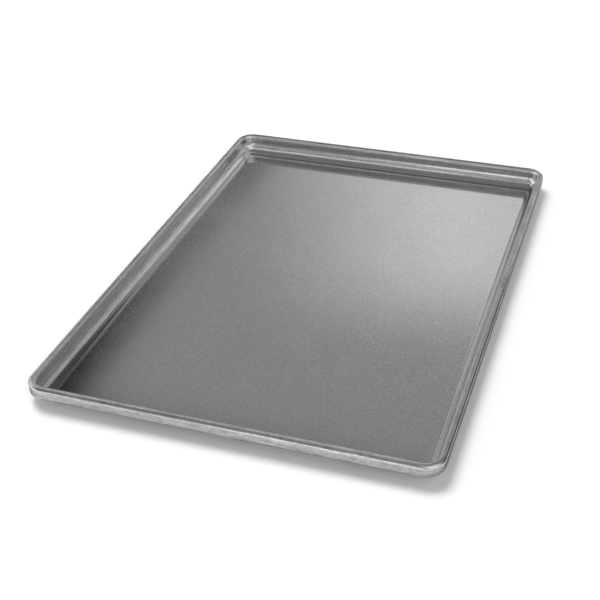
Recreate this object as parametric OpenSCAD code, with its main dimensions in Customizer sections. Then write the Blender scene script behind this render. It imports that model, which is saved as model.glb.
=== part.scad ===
// Jelly roll pan: a shallow tray drawn from one steel sheet, with its rim rolled over a steel wire.
// The pan stands on the plane Z = 0, centred on the origin, with its long sides along Y.
// All sizes are in millimetres.

/* [Tray] */
// Overall width across the rim
pan_width = 454; // [250:1:600]
// Overall length across the rim
pan_length = 660; // [350:1:800]
// Overall height, from the underside to the top of the rim
pan_height = 24.5; // [23:0.5:60]
// Thickness of the steel sheet
sheet = 0.9; // [0.5:0.1:1.5]
// Inside radius of the bend between floor and wall
fillet_radius = 13.5; // [6:0.5:16]
// Lean of the walls, outward from the vertical, in degrees
wall_lean = 2; // [0:0.5:6]
// Least radius of the flat floor at each corner, inside the bend
floor_corner_radius = 0.5; // [0.5:0.1:40]

/* [Rim] */
// Height of the rolled rim, from its lower edge to its top
rim_height = 14.2; // [12:0.1:16]
// Outside radius of the roll's lower edge, where the sheet turns back to the wall
curl_radius = 2.6; // [1.8:0.1:3.5]
// Gap between the sheet's tucked-in edge and the wall
tuck_gap = 0.4; // [0.2:0.1:1]
// Diameter of the wire inside the roll
wire_diameter = 6.4; // [4:0.1:8]
// Clearance around the wire, inside the roll
wire_clearance = 0.1; // [0.05:0.01:0.3]
// Gap between the two ends of the wire, at the middle of the back side
wire_end_gap = 2; // [0.5:0.1:10]

/* [Hidden] */
$fn = 96;

// The sheet wraps the wire, so the wire sets the width of the rim and the round of its top.
crest_radius = wire_diameter / 2 + wire_clearance + sheet;
crest_z = pan_height - crest_radius;
rim_low_z = pan_height - rim_height;

// The wall touches the round top of the rim above and the bend to the floor below.
// Insets are measured inward from the rim's outer face.
bend_z = sheet + fillet_radius;
bend_inset = crest_radius
  + (crest_radius + fillet_radius + (crest_z - bend_z) * sin(wall_lean)) / cos(wall_lean);
bend_outer_radius = fillet_radius + sheet;

// Seen from above, each corner turns about one centre, so one radius sets them all.
// It is rounded up to a tenth, which keeps every straight run a round length.
corner_radius = ceil(10 * (bend_inset + floor_corner_radius)) / 10;
side_run = pan_length - 2 * corner_radius;
end_run = pan_width - 2 * corner_radius;
wire_bend_radius = corner_radius - crest_radius;

// A point at distance r from centre c, in the direction a.
function polar(c, r, a) = [c[0] + r * cos(a), c[1] + r * sin(a)];

// Inset of the wall's outer face at height z, on the bend or on the straight wall above it.
function wall_outer_inset(z) =
  z < bend_z - bend_outer_radius * sin(wall_lean)
    ? bend_inset - sqrt(pow(bend_outer_radius, 2) - pow(bend_z - z, 2))
    : crest_radius + (crest_radius - sheet + (crest_z - z) * sin(wall_lean)) / cos(wall_lean);

// The tucked edge stops short of the wall by the gap, at the higher of the lip's two faces.
lip_end = wall_outer_inset(rim_low_z + sheet) - tuck_gap;

// A curved strip of sheet around centre c with outer radius r, from angle a0 to angle a1.
module bent_strip(c, r, a0, a1) {
  reach = 2 * r;
  mid = (a0 + a1) / 2;
  intersection() {
    translate(c) difference() {
      circle(r);
      circle(r - sheet);
    }
    polygon([c, polar(c, reach, a0), polar(c, reach, mid), polar(c, reach, a1)]);
  }
}

// Section through rim, wall and floor: X is the inset from the rim's outer face, Y is the height.
module rim_section() {
  crest = [crest_radius, crest_z];
  bend = [bend_inset, bend_z];
  curl = [curl_radius, rim_low_z + curl_radius];
  // Flat floor, out to the corner centre
  polygon([[bend_inset, 0], [corner_radius, 0], [corner_radius, sheet], [bend_inset, sheet]]);
  // Bend from the floor up into the wall
  bent_strip(bend, bend_outer_radius, 180 + wall_lean, 270);
  // Straight wall
  polygon([
    polar(bend, fillet_radius, 180 + wall_lean),
    polar(crest, crest_radius, wall_lean),
    polar(crest, crest_radius - sheet, wall_lean),
    polar(bend, bend_outer_radius, 180 + wall_lean)
  ]);
  // Round top of the rim, over the wire
  bent_strip(crest, crest_radius, wall_lean, 180);
  // Outer face of the rim
  translate([0, curl[1]]) square([sheet, crest_z - curl[1]]);
  // Lower edge, and the lip tucked in against the wall
  bent_strip(curl, curl_radius, 180, 270);
  translate([curl_radius, rim_low_z]) square([lip_end - curl_radius, sheet]);
}

// One straight side of the pan, with its rim's outer face on X = 0 and its middle on Y = 0.
module shell_side(length) {
  translate([0, length / 2, 0]) rotate([90, 0, 0]) linear_extrude(length) rim_section();
}

// The corner at +X +Y, turned about its own centre, with the section kept to its side of the axis.
module shell_corner() {
  translate([pan_width / 2 - corner_radius, pan_length / 2 - corner_radius, 0])
    rotate_extrude(angle = 90) intersection() {
      translate([corner_radius, 0]) mirror([1, 0]) rim_section();
      square([corner_radius, pan_height]);
    }
}

// The same piece at both ends of X or Y.
module both(axis) {
  children();
  mirror(axis) children();
}

module pan_shell() {
  color("silver") union() {
    translate([-end_run / 2, -side_run / 2, 0]) cube([end_run, side_run, sheet]);
    both([1, 0, 0]) translate([-pan_width / 2, 0, 0]) shell_side(side_run);
    both([0, 1, 0]) translate([0, -pan_length / 2, 0]) rotate([0, 0, 90]) shell_side(end_run);
    both([1, 0, 0]) both([0, 1, 0]) shell_corner();
  }
}

// A straight length of the wire along X, starting at the origin.
module wire_length(length) {
  rotate([0, 90, 0]) cylinder(h = length, d = wire_diameter);
}

module rim_wire() {
  x = pan_width / 2 - crest_radius;
  y = pan_length / 2 - crest_radius;
  half_end = (end_run - wire_end_gap) / 2;
  color("dimgray") translate([0, 0, crest_z]) union() {
    both([1, 0, 0]) translate([x, -side_run / 2, 0]) rotate([0, 0, 90]) wire_length(side_run);
    translate([-end_run / 2, -y, 0]) wire_length(end_run);
    both([1, 0, 0]) translate([wire_end_gap / 2, y, 0]) wire_length(half_end);
    both([1, 0, 0]) both([0, 1, 0]) translate([end_run / 2, side_run / 2, 0])
      rotate_extrude(angle = 90) translate([wire_bend_radius, 0]) circle(d = wire_diameter);
  }
}

pan_shell();
rim_wire();
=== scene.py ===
import math

import bpy
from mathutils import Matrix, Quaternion, Vector


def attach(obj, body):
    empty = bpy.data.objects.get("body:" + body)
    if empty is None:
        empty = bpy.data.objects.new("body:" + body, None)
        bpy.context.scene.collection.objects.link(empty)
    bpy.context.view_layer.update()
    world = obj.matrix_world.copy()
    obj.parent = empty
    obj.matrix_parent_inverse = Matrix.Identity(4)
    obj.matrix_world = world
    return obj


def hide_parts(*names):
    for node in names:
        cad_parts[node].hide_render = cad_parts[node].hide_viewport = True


# Jelly roll pan: a drawn steel tray with its rim rolled over a wire, on a white table.

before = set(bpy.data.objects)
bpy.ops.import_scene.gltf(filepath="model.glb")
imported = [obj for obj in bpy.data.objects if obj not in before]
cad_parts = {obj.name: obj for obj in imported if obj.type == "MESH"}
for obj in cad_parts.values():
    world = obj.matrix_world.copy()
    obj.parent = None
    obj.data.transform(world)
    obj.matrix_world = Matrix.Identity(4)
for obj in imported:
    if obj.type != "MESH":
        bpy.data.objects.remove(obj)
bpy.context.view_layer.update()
bpy.ops.object.select_all(action="DESELECT")


# ---------------------------------------------------------------- the pan, in metres

# The section and the outline are the ones that the pan was drawn to.
PAN_WIDTH, PAN_LENGTH, PAN_HEIGHT = 0.454, 0.660, 0.0245
SHEET = 0.0009           # thickness of the steel
FLOOR_BEND = 0.0135      # inside radius of the bend from floor to wall
WALL_LEAN = math.radians(2.0)
CREST = 0.0042           # outside radius of the roll's top
ROLL_HEIGHT = 0.0142     # from the top of the roll to its lowest point
CURL = 0.0026            # outside radius of the roll's lower turn
TUCK_GAP = 0.0004        # between the cut edge and the wall
CORNER = 0.0227          # outside radius of the pan's corners

# How finely the sheet is pressed: the section's three turns, the four straight runs and the corners.
CURL_STEPS, CREST_STEPS, BEND_STEPS = 8, 24, 20
RUN_STEPS = 4
CORNER_STEPS = 20
HALVES_MEET = 1e-5       # the mirrored quarters are joined within this distance
SAME_POINT = 2e-6        # points closer than this are one
SHARP_ANGLE = math.radians(35)


# ---------------------------------------------------------------- the steel

STEEL_GREY = 0.54        # grey of the floor
WALL_DARKER = 0.11       # painted shade: how much darker the straight part of the wall is painted than the floor
ROLL_DARKER = 0.02       # how much darker the roll is painted: partly scuffed steel, partly painted shade
TOP_LIGHTER = 0.05       # painted highlight: how much lighter the top of the roll is painted
SHEET_EDGE = 1.00        # brightness of the steel where it is seen along its face
ROLL_EDGE = 0.40         # the same on the roll

GRAIN_SHADE = 0.30       # how much the grain, clouds, flecks, draw lines and scuffs change the grey
CLOUD_SHADE = 0.08
FLECK_SHADE = 0.06
LINE_SHADE = 0.60
SCUFF_SHADE = 0.40

STEEL_ROUGH = 0.09       # roughness of the floor
CLOUD_ROUGH = 0.06       # what the clouds, flecks, drawn steel, roll and worn top add to it
FLECK_ROUGH = 0.03
DRAWN_ROUGH = 0.08
ROLL_ROUGH = 0.04
WORN_ROUGH = 0.14

LINE_RELIEF = 0.8        # draw lines and scuffs in the relief, against the grain's 1
SCUFF_RELIEF = 0.3
STEEL_RELIEF = {"Strength": 0.03, "Distance": 0.0001}

# Where one finish gives way to the next: heights above the table, and distances out from the pan's
# outline, which are below 0 inside it.
DRAWN_FROM = (0.0012, 0.006)
WALL_FROM = (0.009, 0.014)
WALL_UP_TO = (0.0212, 0.0192)
ROLL_FROM = (0.008, 0.011)
ROLL_OUT_FROM = (-1.6 * CREST, -0.9 * CREST)
SHOULDER_FROM = (0.0185, 0.0205)
SHOULDER_IN_FROM = (-1.0 * CREST, -1.25 * CREST)
TOP_FROM = (0.0222, 0.0240)

# The drawn wire: its least grey and roughness, and what its grain and lines add to them.
WIRE_GREY, WIRE_GRAIN_SHADE, WIRE_LINE_SHADE = 0.26, 0.10, 0.16
WIRE_ROUGH, WIRE_LINE_ROUGH = 0.28, 0.12
WIRE_RELIEF = {"Strength": 0.1, "Distance": 0.0002}


# ---------------------------------------------------------------- the studio, in metres and degrees

TABLE_SIZE = 12.0
TABLE_DROP = 0.0002      # the table top lies this far under the pan
TABLE_WHITE = 0.90
TABLE_GLOW = 0.03        # lifts the table to plain white for the camera and the steel

KEY_ENERGY = 2.35
KEY_SPREAD = 31.0
KEY_FROM = Vector((-0.46, 0.43, 1.0))

# The room that the steel mirrors is a dim surround with soft panels. A panel's row gives the bearing of
# its middle and half its width, its lowest and highest edge, how soft its sides and its top are, and how
# bright it is. A bearing is 0 behind the pan and 90 at its right.
ROOM_DIM = 0.08
PANEL_VALUES = ("Middle", "Half Width", "Low", "High", "Soft Sides", "Soft Top", "Light")
ROOM_PANELS = (
    ("ceiling", 0.0, 180.0, 58.0, 110.0, 8.0, 10.0, 0.18),
    ("right_wall", 136.0, 46.0, -20.0, 59.5, 20.0, 17.5, 0.55),
    ("right_skirting", 108.0, 48.0, -20.0, 70.0, 2.0, 8.0, 0.47),
    ("front_wall", -168.5, 14.0, -20.0, 40.0, 5.5, 14.0, 0.40),
    ("front_left_wall", -132.0, 26.0, 0.0, 44.0, 10.0, 10.0, 0.08),
    ("front_left_skirting", -122.0, 29.0, -30.0, 18.0, 3.0, 4.5, 1.40),
    ("left_wall", -74.0, 30.0, -20.0, 48.0, 9.0, 8.0, 0.90),
    ("back_window", -9.7, 7.1, -20.0, 33.4, 7.6, 2.5, 0.53),
    ("back_left_wall", -33.0, 9.5, -20.0, 28.5, 1.5, 2.7, 0.25),
    ("back_right_wall", 31.0, 18.5, -20.0, 33.5, 14.0, 6.5, 0.53),
    ("back_right_high", 25.0, 10.0, 19.0, 33.0, 6.0, 3.0, 0.22),
    ("back_high", -6.0, 29.0, -20.0, 52.0, 6.0, 4.0, 0.325),
)

# Straight edges in the room are set by how far to the right or how far back they lie for each metre of
# height, so the left is below 0. The pan's level floor mirrors such an edge as a straight line.
LEAST_HEIGHT = 0.05              # keeps those two measures finite near the horizon
BACK_HIGH_CUT = (1.06, 1.13)     # the upper edge of the high back panel
STRIP_NEAR = -0.756              # the dark strip's edge toward the pan
STRIP_FAR = -0.87                # its other edge
STRIP_SLANT = 0.02               # how much it leans inward toward the back
STRIP_SOFT = 0.014               # how soft both edges are
STRIP_DARK = 0.94                # how much light it takes away
STRIP_STARTS = (0.45, 0.80)      # how far back it starts, and where it fades a little
STRIP_FADES = (1.22, 1.5)
STRIP_FADED = 0.58               # what is left of its darkness past there

# Each soft box: its middle, width and depth, its light, how much of each side is soft, and its turn
# about the X axis.
SOFT_BOXES = (
    ("overhead_lamp", (-0.30, -0.04, 0.50), 1.32, 0.42, 0.75, 0.36, 0.0),
    ("front_board", (-0.06, -1.50, 0.11), 0.85, 0.25, 1.65, 0.15, 90.0),
)

# The black card stands upright along the pan's right side, and fades out between these heights and these
# places along the pan's length.
CARD_HEIGHT, CARD_LENGTH = 0.11, 0.60
CARD_MIDDLE = (0.30, -0.04, 0.055)
CARD_BLACK = 0.06
CARD_TOP_FADES = (0.11, 0.05)
CARD_BACK_FADES = (0.26, 0.10)
CARD_FRONT_FADES = (-0.34, -0.26)

CAMERA_PLACE = Vector((0.37203, -1.13839, 0.74911))
CAMERA_AIM = Vector((-0.00866, -0.05207, 0.0))
CAMERA_ROLL = -1.444
CAMERA_LENS, CAMERA_FILM = 68.324, 36.0     # in millimetres


# ---------------------------------------------------------------- modelling helpers

def edit():
    bpy.ops.object.mode_set(mode="EDIT")


def leave_edit():
    bpy.ops.object.mode_set(mode="OBJECT")


def select_everything():
    bpy.ops.mesh.select_all(action="SELECT")


def draw_out(step):
    """Extrude what is selected by one step."""
    bpy.ops.mesh.extrude_region_move(TRANSFORM_OT_translate={"value": tuple(step)})


def arc(centre, radius, start, end, steps):
    """Points along an arc in the section, in (inset, height)."""
    return [
        (
            centre[0] + radius * math.cos(start + (end - start) * i / steps),
            centre[1] + radius * math.sin(start + (end - start) * i / steps),
        )
        for i in range(steps + 1)
    ]


# ---------------------------------------------------------------- the pan's sheet

def sheet_section():
    """Middle line of the sheet from the rim's cut edge to the floor, as (inset, height)."""
    half = SHEET / 2
    crest_height = PAN_HEIGHT - CREST
    roll_low = PAN_HEIGHT - ROLL_HEIGHT
    bend_height = SHEET + FLOOR_BEND
    rise = (crest_height - bend_height) * math.sin(WALL_LEAN)
    bend_inset = CREST + (CREST + FLOOR_BEND + rise) / math.cos(WALL_LEAN)
    wall_back = math.sqrt((FLOOR_BEND + SHEET) ** 2 - (bend_height - roll_low - SHEET) ** 2)
    line = [(bend_inset - wall_back - TUCK_GAP, roll_low + half)]
    line += arc((CURL, roll_low + CURL), CURL - half, 1.5 * math.pi, math.pi, CURL_STEPS)
    line += arc((CREST, crest_height), CREST - half, math.pi, WALL_LEAN, CREST_STEPS)
    bend = (bend_inset, bend_height)
    line += arc(bend, FLOOR_BEND + half, math.pi + WALL_LEAN, 1.5 * math.pi, BEND_STEPS)
    line.append((CORNER, half))
    return line


def select_floor_edge(mesh):
    """Select the open edges that run round the floor."""
    faces_on = {}
    for face in mesh.polygons:
        for key in face.edge_keys:
            faces_on[key] = faces_on.get(key, 0) + 1
    for part in (mesh.vertices, mesh.edges, mesh.polygons):
        for item in part:
            item.select = False
    for edge in mesh.edges:
        ends = [mesh.vertices[i] for i in edge.key]
        if faces_on[edge.key] == 1 and all(end.co.z < SHEET for end in ends):
            edge.select = True
            for end in ends:
                end.select = True


def press_pan_shell():
    """One quarter of the sheet is drawn round its corner, mirrored twice, floored and thickened."""
    half_x, half_y = PAN_WIDTH / 2 - CORNER, PAN_LENGTH / 2 - CORNER
    points = [Vector((PAN_WIDTH / 2 - inset, 0.0, height)) for inset, height in sheet_section()]
    # a small plane, merged to one point, is drawn out along the section
    bpy.ops.mesh.primitive_plane_add(size=0.001, location=points[0])
    shell = bpy.context.active_object
    shell.name = "pan_sheet"
    edit()
    select_everything()
    bpy.ops.mesh.merge(type="CENTER")
    for here, there in zip(points, points[1:]):
        draw_out(there - here)
    # the section runs along half a long side, round the corner and along half a short side
    select_everything()
    for _ in range(RUN_STEPS):
        draw_out((0.0, half_y / RUN_STEPS, 0.0))
    bpy.ops.mesh.spin(
        steps=CORNER_STEPS, angle=-math.pi / 2, center=(half_x, half_y, 0.0), axis=(0, 0, 1)
    )
    for _ in range(RUN_STEPS):
        draw_out((-half_x / RUN_STEPS, 0.0, 0.0))
    leave_edit()
    bpy.ops.object.transform_apply(location=True, rotation=True, scale=True)
    halves = shell.modifiers.new("halves", "MIRROR")
    halves.use_axis = (True, True, False)
    halves.merge_threshold = HALVES_MEET
    bpy.ops.object.modifier_apply(modifier=halves.name)
    edit()
    select_everything()
    bpy.ops.mesh.remove_doubles(threshold=SAME_POINT)
    leave_edit()
    # one face closes the floor
    select_floor_edge(shell.data)
    edit()
    bpy.ops.mesh.select_mode(type="EDGE")
    bpy.ops.mesh.edge_face_add()
    select_everything()
    bpy.ops.mesh.normals_make_consistent(inside=False)
    leave_edit()
    wall = shell.modifiers.new("sheet", "SOLIDIFY")
    wall.thickness = SHEET
    wall.offset = 0.0
    wall.use_even_offset = True
    wall.use_quality_normals = True
    bpy.ops.object.modifier_apply(modifier=wall.name)
    bpy.ops.object.shade_smooth_by_angle(angle=SHARP_ANGLE)
    return shell


# ---------------------------------------------------------------- node helpers

def new_material(name):
    """A node material with nothing in its tree yet."""
    material = bpy.data.materials.new(name)
    material.use_nodes = True
    material.node_tree.nodes.clear()
    return material


def new_group(name, inputs, outputs):
    """A shader node group with float or vector inputs and float outputs. None marks a vector."""
    group = bpy.data.node_groups.new(name, "ShaderNodeTree")
    for label, value in inputs:
        kind = "NodeSocketVector" if value is None else "NodeSocketFloat"
        socket = group.interface.new_socket(label, in_out="INPUT", socket_type=kind)
        if value is not None:
            socket.default_value = value
    for label in outputs:
        group.interface.new_socket(label, in_out="OUTPUT", socket_type="NodeSocketFloat")
    return group, add_node(group, "NodeGroupInput", -1000, 0), add_node(group, "NodeGroupOutput", 900, 0)


def add_node(tree, kind, x, y, values=None, **settings):
    """One node at its place, with its settings and the values of its sockets."""
    node = tree.nodes.new(kind)
    node.location = (x, y)
    for key, value in settings.items():
        setattr(node, key, value)
    for socket, value in (values or {}).items():
        node.inputs[socket].default_value = value
    return node


def feed(tree, socket, value):
    """Give a socket a plain number, or link another socket to it."""
    if isinstance(value, (int, float)):
        socket.default_value = value
    else:
        tree.links.new(value, socket)


def add_math(tree, operation, x, y, first, second=None, third=None):
    """A Math node fed by sockets or plain numbers. Returns its result."""
    node = add_node(tree, "ShaderNodeMath", x, y, operation=operation)
    for slot, value in enumerate((first, second, third)):
        if value is not None:
            feed(tree, node.inputs[slot], value)
    return node.outputs[0]


def add_ramp(tree, x, y, value, start, end, low=0.0, high=1.0):
    """A smooth step of a value from low at start to high at end. Returns its result."""
    node = add_node(tree, "ShaderNodeMapRange", x, y, interpolation_type="SMOOTHSTEP")
    for slot, item in (
        ("Value", value), ("From Min", start), ("From Max", end), ("To Min", low), ("To Max", high)
    ):
        feed(tree, node.inputs[slot], item)
    return node.outputs[0]


def add_centred(tree, x, y, value):
    """A value that runs from 0 to 1, moved to run from -0.5 to 0.5."""
    return add_math(tree, "SUBTRACT", x, y, value, 0.5)


def add_grey(tree, x, y, grey):
    """A neutral colour of the given grey."""
    node = add_node(tree, "ShaderNodeCombineColor", x, y)
    for channel in node.inputs:
        tree.links.new(grey, channel)
    return node.outputs[0]


def set_finish(obj, material):
    obj.data.materials.clear()
    obj.data.materials.append(material)


# ---------------------------------------------------------------- steel finishes

def build_steel_grain():
    """Node group: the fine grain of bare coated steel, its flecks, and the clouds across a rolled sheet."""
    group, start, end = new_group(
        "steel_grain",
        (("Vector", None), ("Grain Size", 450.0), ("Fleck Size", 400.0), ("Cloud Size", 14.0)),
        ("Grain", "Fleck", "Cloud"),
    )
    grain = add_node(group, "ShaderNodeTexNoise", -500, 300, {"Detail": 2.0, "Roughness": 0.6})
    fleck = add_node(group, "ShaderNodeTexNoise", -500, 0, {"Detail": 0.0})
    cloud = add_node(group, "ShaderNodeTexNoise", -500, -300, {"Detail": 3.0, "Roughness": 0.55})
    for node, size in ((grain, "Grain Size"), (fleck, "Fleck Size"), (cloud, "Cloud Size")):
        group.links.new(start.outputs["Vector"], node.inputs["Vector"])
        group.links.new(start.outputs[size], node.inputs["Scale"])
    # only the noise's peaks are flecks
    spots = add_ramp(group, -100, 0, fleck.outputs["Fac"], 0.60, 0.76)
    group.links.new(grain.outputs["Fac"], end.inputs["Grain"])
    group.links.new(spots, end.inputs["Fleck"])
    group.links.new(cloud.outputs["Fac"], end.inputs["Cloud"])
    return group


def build_draw_lines():
    """Node group: the streaks that a press leaves along drawn walls, and short scuffs on a rolled rim."""
    group, start, end = new_group(
        "draw_lines",
        (("Vector", None), ("Line Size", 900.0), ("Scuff Size", 420.0)),
        ("Line", "Scuff"),
    )
    # both are stretched level, the lines much more than the scuffs
    long_way = add_node(group, "ShaderNodeMapping", -750, 100, {"Scale": (0.03, 0.03, 1.0)})
    short_way = add_node(group, "ShaderNodeMapping", -750, -200, {"Scale": (0.35, 0.35, 1.0)})
    line = add_node(group, "ShaderNodeTexNoise", -450, 100, {"Detail": 2.0, "Roughness": 0.6})
    scuff = add_node(group, "ShaderNodeTexNoise", -450, -200, {"Detail": 3.0, "Roughness": 0.6})
    link = group.links.new
    for stretch, noise, size, out in (
        (long_way, line, "Line Size", "Line"), (short_way, scuff, "Scuff Size", "Scuff")
    ):
        link(start.outputs["Vector"], stretch.inputs["Vector"])
        link(stretch.outputs[0], noise.inputs["Vector"])
        link(start.outputs[size], noise.inputs["Scale"])
        link(noise.outputs["Fac"], end.inputs[out])
    return group


def sheet_steel_finish(steel_grain, draw_lines):
    """Coated sheet steel: an even sheen on the floor, draw lines on the walls, a scuffed rolled rim,
    painted shade on the wall and roll and a painted highlight on the roll's top.
    """
    material = new_material("sheet_steel")
    tree = material.node_tree
    link = tree.links.new
    output = add_node(tree, "ShaderNodeOutputMaterial", 1500, 0)
    shader = add_node(tree, "ShaderNodeBsdfPrincipled", 1200, 0, {"Metallic": 1.0})
    place = add_node(tree, "ShaderNodeTexCoord", -1300, 0)
    grain = add_node(tree, "ShaderNodeGroup", -1000, 200, node_tree=steel_grain)
    lines = add_node(tree, "ShaderNodeGroup", -1000, -200, node_tree=draw_lines)
    part = add_node(tree, "ShaderNodeSeparateXYZ", -1000, -500)
    link(place.outputs["Object"], grain.inputs["Vector"])
    link(place.outputs["Object"], lines.inputs["Vector"])
    link(place.outputs["Object"], part.inputs[0])

    # how far out from the pan's outline a point is, which tells the roll from the inside of the wall
    far_x = add_math(tree, "ABSOLUTE", -850, -700, part.outputs["X"])
    far_y = add_math(tree, "ABSOLUTE", -850, -850, part.outputs["Y"])
    outward = add_math(
        tree, "MAXIMUM", -600, -750,
        add_math(tree, "SUBTRACT", -750, -700, far_x, PAN_WIDTH / 2),
        add_math(tree, "SUBTRACT", -750, -850, far_y, PAN_LENGTH / 2),
    )

    # the regions: drawn steel above the floor, straight wall, roll, inner shoulder of the roll, its top
    height = part.outputs["Z"]
    drawn = add_ramp(tree, -750, -500, height, *DRAWN_FROM)
    wall = add_math(
        tree, "MULTIPLY", -200, 600,
        add_ramp(tree, -350, 600, height, *WALL_FROM),
        add_ramp(tree, -350, 750, height, *WALL_UP_TO),
    )
    rolled = add_math(
        tree, "MULTIPLY", -350, -700,
        add_ramp(tree, -500, -700, outward, *ROLL_OUT_FROM),
        add_ramp(tree, -500, -900, height, *ROLL_FROM),
    )
    shoulder = add_math(
        tree, "MULTIPLY", -350, -1000,
        add_ramp(tree, -500, -1000, outward, *SHOULDER_IN_FROM),
        add_ramp(tree, -500, -1250, height, *SHOULDER_FROM),
    )
    top = add_ramp(tree, -500, -1100, height, *TOP_FROM)

    # what marks the grey: fine grain, clouds, white flecks, draw lines on drawn steel, scuffs on the roll
    streak = add_centred(tree, -600, 0, lines.outputs["Line"])
    streak = add_math(tree, "MULTIPLY", -450, 0, streak, drawn)
    scuff = add_centred(tree, -600, -150, lines.outputs["Scuff"])
    scuff = add_math(tree, "MULTIPLY", -450, -150, scuff, rolled)
    fine = add_centred(tree, -750, 300, grain.outputs["Grain"])
    cloud = add_centred(tree, -600, 150, grain.outputs["Cloud"])
    marks = add_math(tree, "MULTIPLY", -600, 300, fine, GRAIN_SHADE)
    marks = add_math(tree, "MULTIPLY_ADD", -450, 300, cloud, CLOUD_SHADE, marks)
    marks = add_math(tree, "MULTIPLY_ADD", -300, 300, grain.outputs["Fleck"], FLECK_SHADE, marks)
    marks = add_math(tree, "MULTIPLY_ADD", -150, 300, streak, LINE_SHADE, marks)
    marks = add_math(tree, "MULTIPLY_ADD", 0, 300, scuff, SCUFF_SHADE, marks)
    # the grey with painted shade on the straight wall and the roll, and a painted highlight along the
    # roll's top
    grey_with_painted_light = add_math(tree, "MULTIPLY_ADD", -100, 450, wall, -WALL_DARKER, STEEL_GREY)
    grey_with_painted_light = add_math(tree, "MULTIPLY_ADD", 0, 450, rolled, -ROLL_DARKER, grey_with_painted_light)
    grey_with_painted_light = add_math(tree, "MULTIPLY_ADD", 100, 450, top, TOP_LIGHTER, grey_with_painted_light)
    grey = add_math(tree, "ADD", 150, 300, marks, grey_with_painted_light)
    link(add_grey(tree, 350, 300, grey), shader.inputs["Base Color"])

    # the roll is duller where it is seen along its face
    dull = add_math(tree, "MULTIPLY_ADD", 350, 500, rolled, ROLL_EDGE - SHEET_EDGE, SHEET_EDGE)
    link(add_grey(tree, 550, 500, dull), shader.inputs["Specular Tint"])

    # clouds change the roughness both ways, and the rest add to it
    rough = add_math(
        tree, "MULTIPLY_ADD", -150, 0, grain.outputs["Cloud"], CLOUD_ROUGH, STEEL_ROUGH - CLOUD_ROUGH / 2
    )
    rough = add_math(tree, "MULTIPLY_ADD", 0, 0, grain.outputs["Fleck"], FLECK_ROUGH, rough)
    rough = add_math(tree, "MULTIPLY_ADD", 150, 0, drawn, DRAWN_ROUGH, rough)
    rough = add_math(tree, "MULTIPLY_ADD", 300, 0, rolled, ROLL_ROUGH, rough)
    rubbed = add_math(tree, "MAXIMUM", 300, -150, top, shoulder)
    rough = add_math(tree, "MULTIPLY_ADD", 450, 0, rubbed, WORN_ROUGH, rough)
    link(rough, shader.inputs["Roughness"])

    relief = add_math(tree, "MULTIPLY_ADD", 150, -300, streak, LINE_RELIEF, grain.outputs["Grain"])
    relief = add_math(tree, "MULTIPLY_ADD", 300, -300, scuff, SCUFF_RELIEF, relief)
    bump = add_node(tree, "ShaderNodeBump", 600, -300, STEEL_RELIEF)
    link(relief, bump.inputs["Height"])
    link(bump.outputs[0], shader.inputs["Normal"])
    link(shader.outputs[0], output.inputs[0])
    return material


def wire_steel_finish(steel_grain, draw_lines):
    """Bright drawn wire: a darker grey with fine lines along it."""
    material = new_material("wire_steel")
    tree = material.node_tree
    link = tree.links.new
    output = add_node(tree, "ShaderNodeOutputMaterial", 900, 0)
    shader = add_node(tree, "ShaderNodeBsdfPrincipled", 600, 0, {"Metallic": 1.0})
    place = add_node(tree, "ShaderNodeTexCoord", -900, 0)
    grain = add_node(tree, "ShaderNodeGroup", -600, 200, node_tree=steel_grain)
    lines = add_node(tree, "ShaderNodeGroup", -600, -100, {"Line Size": 1600.0}, node_tree=draw_lines)
    link(place.outputs["Object"], grain.inputs["Vector"])
    link(place.outputs["Object"], lines.inputs["Vector"])
    line = lines.outputs["Line"]
    grey = add_math(tree, "MULTIPLY_ADD", -300, 200, grain.outputs["Grain"], WIRE_GRAIN_SHADE, WIRE_GREY)
    grey = add_math(tree, "MULTIPLY_ADD", -100, 200, line, WIRE_LINE_SHADE, grey)
    link(add_grey(tree, 150, 200, grey), shader.inputs["Base Color"])
    rough = add_math(tree, "MULTIPLY_ADD", -100, -50, line, WIRE_LINE_ROUGH, WIRE_ROUGH)
    link(rough, shader.inputs["Roughness"])
    bump = add_node(tree, "ShaderNodeBump", 200, -250, WIRE_RELIEF)
    link(line, bump.inputs["Height"])
    link(bump.outputs[0], shader.inputs["Normal"])
    link(shader.outputs[0], output.inputs[0])
    return material


# ---------------------------------------------------------------- table, room, lights and camera

def white_table():
    """The white table top, which the camera sees as plain white but for the pan's shadow."""
    bpy.ops.mesh.primitive_plane_add(size=TABLE_SIZE, location=(0, 0, -TABLE_DROP))
    table = bpy.context.active_object
    table.name = "table_top"
    paper = new_material("table_white")
    tree = paper.node_tree
    link = tree.links.new
    output = add_node(tree, "ShaderNodeOutputMaterial", 700, 0)
    card = add_node(
        tree, "ShaderNodeBsdfDiffuse", 100, 100, {"Color": (TABLE_WHITE, TABLE_WHITE, TABLE_WHITE, 1.0)}
    )
    glow = add_node(tree, "ShaderNodeEmission", 300, -150, {"Color": (1.0, 1.0, 1.0, 1.0)})
    total = add_node(tree, "ShaderNodeAddShader", 500, 0)
    rays = add_node(tree, "ShaderNodeLightPath", -500, -150)
    mirrored = add_math(
        tree, "MAXIMUM", -250, -300, rays.outputs["Is Glossy Ray"], rays.outputs["Is Transmission Ray"]
    )
    seen = add_math(tree, "MAXIMUM", -50, -150, rays.outputs["Is Camera Ray"], mirrored)
    link(add_math(tree, "MULTIPLY", 120, -150, seen, TABLE_GLOW), glow.inputs["Strength"])
    link(card.outputs[0], total.inputs[0])
    link(glow.outputs[0], total.inputs[1])
    link(total.outputs[0], output.inputs[0])
    set_finish(table, paper)


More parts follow.
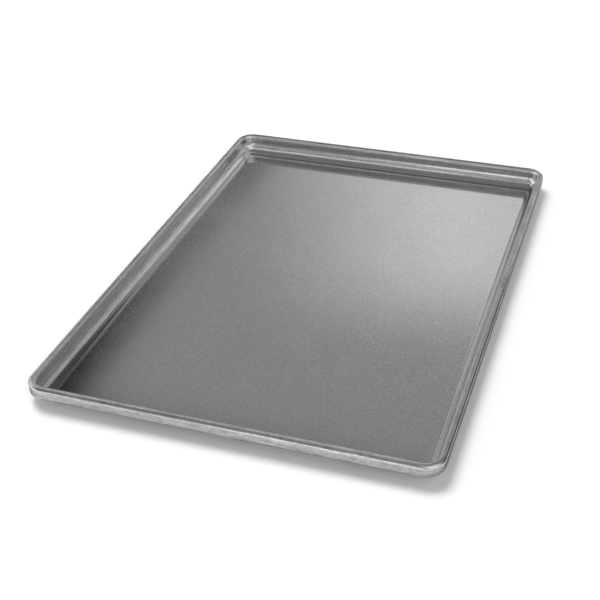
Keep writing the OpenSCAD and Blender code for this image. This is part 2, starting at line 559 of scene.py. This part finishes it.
def build_room_panel():
    """Node group: the light of one soft-edged panel of the room, seen in one direction."""
    group, start, end = new_group(
        "room_panel",
        (
            ("Bearing", 0.0), ("Height", 0.0), ("Middle", 0.0), ("Half Width", 20.0),
            ("Low", 0.0), ("High", 45.0), ("Soft Sides", 5.0), ("Soft Top", 5.0), ("Light", 1.0),
        ),
        ("Light",),
    )
    take = start.outputs
    # how far apart the two bearings are, the shorter way round
    apart = add_math(group, "SUBTRACT", -800, 300, take["Bearing"], take["Middle"])
    apart = add_math(group, "WRAP", -650, 300, apart, 180.0, -180.0)
    apart = add_math(group, "ABSOLUTE", -500, 300, apart)
    wide = add_ramp(
        group, -200, 300, apart,
        add_math(group, "ADD", -400, 150, take["Half Width"], take["Soft Sides"]),
        add_math(group, "SUBTRACT", -400, 0, take["Half Width"], take["Soft Sides"]),
    )
    above = add_ramp(
        group, -200, -100, take["Height"],
        add_math(group, "SUBTRACT", -400, -150, take["Low"], take["Soft Top"]),
        add_math(group, "ADD", -400, -250, take["Low"], take["Soft Top"]),
    )
    below = add_ramp(
        group, -200, -350, take["Height"],
        add_math(group, "ADD", -400, -350, take["High"], take["Soft Top"]),
        add_math(group, "SUBTRACT", -400, -450, take["High"], take["Soft Top"]),
    )
    light = add_math(group, "MULTIPLY", 100, 100, wide, add_math(group, "MULTIPLY", 0, -200, above, below))
    group.links.new(add_math(group, "MULTIPLY", 300, 100, light, take["Light"]), end.inputs["Light"])
    return group


def left_strip_shade(tree, right, back):
    """How much light is left past a straight dark strip high at the left, from 1 down.

    The pan's floor mirrors the strip as the darker band along its left edge.
    """
    slanted = add_math(tree, "MULTIPLY_ADD", -200, -300, back, -STRIP_SLANT, right)
    past_near = add_ramp(tree, 0, -300, slanted, STRIP_NEAR + STRIP_SOFT, STRIP_NEAR - STRIP_SOFT)
    before_far = add_ramp(tree, 0, -500, slanted, STRIP_FAR - STRIP_SOFT, STRIP_FAR + STRIP_SOFT)
    started = add_ramp(tree, 0, -700, back, *STRIP_STARTS)
    strip = add_math(
        tree, "MULTIPLY", 300, -300, past_near, add_math(tree, "MULTIPLY", 100, -500, before_far, started)
    )
    depth = add_ramp(tree, 300, -600, back, *STRIP_FADES, STRIP_DARK, STRIP_DARK * STRIP_FADED)
    return add_math(tree, "SUBTRACT", 600, -300, 1.0, add_math(tree, "MULTIPLY", 450, -300, strip, depth))


def studio_room():
    """The room round the table: a dim surround with soft panels, white where the camera looks past."""
    panel = build_room_panel()
    room = bpy.data.worlds.new("studio_room")
    bpy.context.scene.world = room
    room.use_nodes = True
    tree = room.node_tree
    tree.nodes.clear()
    link = tree.links.new
    output = add_node(tree, "ShaderNodeOutputWorld", 1300, 0)
    place = add_node(tree, "ShaderNodeTexCoord", -1300, 0)
    part = add_node(tree, "ShaderNodeSeparateXYZ", -1100, 0)
    link(place.outputs["Generated"], part.inputs[0])
    side, ahead, up = part.outputs["X"], part.outputs["Y"], part.outputs["Z"]
    bearing = add_math(tree, "DEGREES", -750, 100, add_math(tree, "ARCTAN2", -900, 100, side, ahead))
    height = add_math(tree, "DEGREES", -750, -100, add_math(tree, "ARCSINE", -900, -100, up))
    raised = add_math(tree, "MAXIMUM", -850, -400, up, LEAST_HEIGHT)
    right = add_math(tree, "DIVIDE", -700, -300, side, raised)
    back = add_math(tree, "DIVIDE", -700, -500, ahead, raised)

    light = ROOM_DIM
    for row, (name, *values) in enumerate(ROOM_PANELS):
        wall = add_node(tree, "ShaderNodeGroup", -450, 400 - 250 * row, node_tree=panel, label=name)
        for slot, value in zip(PANEL_VALUES, values):
            wall.inputs[slot].default_value = value
        link(bearing, wall.inputs["Bearing"])
        link(height, wall.inputs["Height"])
        shine = wall.outputs["Light"]
        if name == "back_high":
            # its upper edge is cut straight
            under_cut = add_ramp(tree, -450, -900, back, *BACK_HIGH_CUT)
            shine = add_math(tree, "MULTIPLY", -300, -800, shine, under_cut)
        light = add_math(tree, "ADD", -200 + 120 * row, 300, shine, light)
    light = add_math(tree, "MULTIPLY", 700, 200, light, left_strip_shade(tree, right, back))

    mirrored = add_node(tree, "ShaderNodeBackground", 800, 100, {"Color": (1, 1, 1, 1)})
    seen = add_node(tree, "ShaderNodeBackground", 800, -100, {"Strength": 1.0, "Color": (1, 1, 1, 1)})
    rays = add_node(tree, "ShaderNodeLightPath", 800, 400)
    both = add_node(tree, "ShaderNodeMixShader", 1100, 0)
    link(light, mirrored.inputs["Strength"])
    link(rays.outputs["Is Camera Ray"], both.inputs[0])
    link(mirrored.outputs[0], both.inputs[1])
    link(seen.outputs[0], both.inputs[2])
    link(both.outputs[0], output.inputs[0])


def key_light():
    """A broad high light, a little behind and to the left, that gives the soft shadow."""
    bpy.ops.object.light_add(type="SUN", location=(-0.6, 0.8, 2.0))
    key = bpy.context.active_object
    key.name = "key_light"
    key.data.energy = KEY_ENERGY
    key.data.angle = math.radians(KEY_SPREAD)
    key.data.use_shadow = True
    key.rotation_mode = "QUATERNION"
    key.rotation_quaternion = KEY_FROM.normalized().to_track_quat("Z", "Y")
    key.visible_glossy = False


def mirrored_lamp(name, middle, width, depth, light, soft, turn):
    """A soft box that only the steel mirrors, dimmer toward its edges."""
    bpy.ops.object.light_add(type="AREA", location=middle, rotation=(math.radians(turn), 0.0, 0.0))
    lamp = bpy.context.active_object
    lamp.name = name
    lamp.data.shape = "RECTANGLE"
    lamp.data.size = width
    lamp.data.size_y = depth
    lamp.data.energy = light * math.pi * width * depth
    lamp.visible_camera = False
    lamp.visible_diffuse = False
    lamp.data.use_nodes = True
    tree = lamp.data.node_tree
    tree.nodes.clear()
    link = tree.links.new
    output = add_node(tree, "ShaderNodeOutputLight", 900, 0)
    glow = add_node(tree, "ShaderNodeEmission", 700, 0, {"Color": (1.0, 1.0, 1.0, 1.0)})
    place = add_node(tree, "ShaderNodeNewGeometry", -600, 0)
    part = add_node(tree, "ShaderNodeSeparateXYZ", -400, 0)
    link(place.outputs["Parametric"], part.inputs[0])
    edges = []
    for row, axis in enumerate(("X", "Y")):
        at = part.outputs[axis]
        rise = add_ramp(tree, -200, 200 - 300 * row, at, 0.0, soft)
        fall = add_ramp(tree, -200, 50 - 300 * row, at, 1.0, 1.0 - soft)
        edges.append(add_math(tree, "MULTIPLY", 100, 100 - 250 * row, rise, fall))
    link(add_math(tree, "MULTIPLY", 400, 0, *edges), glow.inputs["Strength"])
    link(glow.outputs[0], output.inputs[0])


def black_flag():
    """A low black card beside the pan that only the steel mirrors, for the dark lines of its right rim."""
    bpy.ops.mesh.primitive_plane_add(size=1.0, location=(0.0, 0.0, 0.0))
    card = bpy.context.active_object
    card.name = "black_flag"
    edit()
    select_everything()
    bpy.ops.transform.resize(value=(CARD_HEIGHT, CARD_LENGTH, 1.0))
    bpy.ops.transform.rotate(value=math.radians(90), orient_axis="Y", center_override=(0.0, 0.0, 0.0))
    bpy.ops.transform.translate(value=CARD_MIDDLE)
    leave_edit()
    felt = new_material("black_felt")
    tree = felt.node_tree
    link = tree.links.new
    output = add_node(tree, "ShaderNodeOutputMaterial", 700, 0)
    cloth = add_node(
        tree, "ShaderNodeBsdfDiffuse", 200, -150, {"Color": (CARD_BLACK, CARD_BLACK, CARD_BLACK, 1.0)}
    )
    clear = add_node(tree, "ShaderNodeBsdfTransparent", 200, 100)
    both = add_node(tree, "ShaderNodeMixShader", 450, 0)
    place = add_node(tree, "ShaderNodeTexCoord", -800, 0)
    part = add_node(tree, "ShaderNodeSeparateXYZ", -600, 0)
    link(place.outputs["Object"], part.inputs[0])
    ends = add_math(
        tree, "MULTIPLY", -100, 200,
        add_ramp(tree, -300, 300, part.outputs["Y"], *CARD_BACK_FADES),
        add_ramp(tree, -300, 100, part.outputs["Y"], *CARD_FRONT_FADES),
    )
    top = add_ramp(tree, -300, -100, part.outputs["Z"], *CARD_TOP_FADES)
    link(add_math(tree, "MULTIPLY", 50, 100, ends, top), both.inputs[0])
    link(clear.outputs[0], both.inputs[1])
    link(cloth.outputs[0], both.inputs[2])
    link(both.outputs[0], output.inputs[0])
    set_finish(card, felt)
    card.visible_camera = False
    card.visible_diffuse = False
    card.visible_shadow = False


def photo_camera():
    """The camera: above the front right corner, where the photograph was taken from."""
    lens = bpy.data.cameras.new("camera")
    camera = bpy.data.objects.new("camera", lens)
    bpy.context.scene.collection.objects.link(camera)
    lens.sensor_width = CAMERA_FILM
    lens.lens = CAMERA_LENS
    camera.location = CAMERA_PLACE
    camera.rotation_mode = "QUATERNION"
    level = (CAMERA_PLACE - CAMERA_AIM).to_track_quat("Z", "Y")
    camera.rotation_quaternion = level @ Quaternion((0.0, 0.0, 1.0), math.radians(CAMERA_ROLL))
    bpy.context.scene.camera = camera


# ---------------------------------------------------------------- making it all

STEEL_GRAIN = build_steel_grain()
DRAW_LINES = build_draw_lines()

pan_sheet = press_pan_shell()
set_finish(pan_sheet, sheet_steel_finish(STEEL_GRAIN, DRAW_LINES))
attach(pan_sheet, "root")
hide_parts("pan_shell")
set_finish(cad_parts["rim_wire"], wire_steel_finish(STEEL_GRAIN, DRAW_LINES))

white_table()
studio_room()
key_light()
for soft_box in SOFT_BOXES:
    mirrored_lamp(*soft_box)
black_flag()
photo_camera()
bpy.context.scene.view_settings.view_transform = "Standard"
